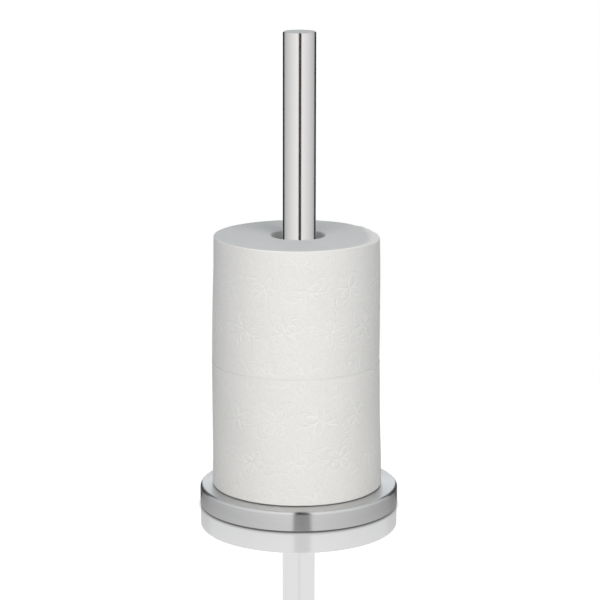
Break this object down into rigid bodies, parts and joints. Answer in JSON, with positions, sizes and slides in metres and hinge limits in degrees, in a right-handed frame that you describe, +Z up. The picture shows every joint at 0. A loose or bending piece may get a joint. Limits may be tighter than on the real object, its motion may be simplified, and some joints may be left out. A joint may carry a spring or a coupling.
{
  "type": "roll stand",
  "caption": "Free-standing paper roll stand: low round weighted steel base, straight tube post and stacked paper rolls that turn and lift off.",
  "frame": {"origin": "centre of the round base's footprint, on the surface that the stand rests on", "axes": "+Z up along the post; -Y is the front, and the stand itself is the same all round"},
  "size_m": [0.152, 0.152, 0.364],
  "materials": {
    "brushed_cover": "satin",
    "brushed_tube": "satin",
    "brushed_cap": "satin",
    "cast_ballast": "matte",
    "plate_plastic": "matte",
    "foot_rubber": "matte",
    "zinc_steel": "satin",
    "spring_steel": "satin",
    "core_card": "matte",
    "tissue": "matte"
  },
  "bodies": {
    "stand": {"base_cover": "brushed_cover", "base_weight": "cast_ballast", "base_plate": "plate_plastic", "foot_ring": "foot_rubber", "plate_screws": "zinc_steel", "post_tube": "brushed_tube", "post_cap": "brushed_cap", "post_plug": "zinc_steel", "post_bolt": "zinc_steel", "post_washer": "zinc_steel", "post_spring_washer": "spring_steel"},
    "lower_core": {"lower_roll_core": "core_card"},
    "lower_paper": {"lower_roll_paper": "tissue"},
    "upper_core": {"upper_roll_core": "core_card"},
    "upper_paper": {"upper_roll_paper": "tissue"}
  },
  "joints": [
    {"name": "lower_roll_lift", "type": "slide", "parent": "stand", "child": "lower_core", "axis": [0, 0, 1], "range_m": [0, 0.36]},
    {"name": "lower_roll_turn", "type": "hinge", "parent": "lower_core", "child": "lower_paper", "pos_m": [-0.0009, 0.0012, 0.01655], "axis": [0, 0, 1], "continuous": true},
    {"name": "upper_roll_lift", "type": "slide", "parent": "lower_core", "child": "upper_core", "axis": [0, 0, 1], "range_m": [0, 0.26]},
    {"name": "upper_roll_turn", "type": "hinge", "parent": "upper_core", "child": "upper_paper", "pos_m": [-0.0009, 0.0016, 0.1136], "axis": [0, 0, 1], "continuous": true}
  ]
}
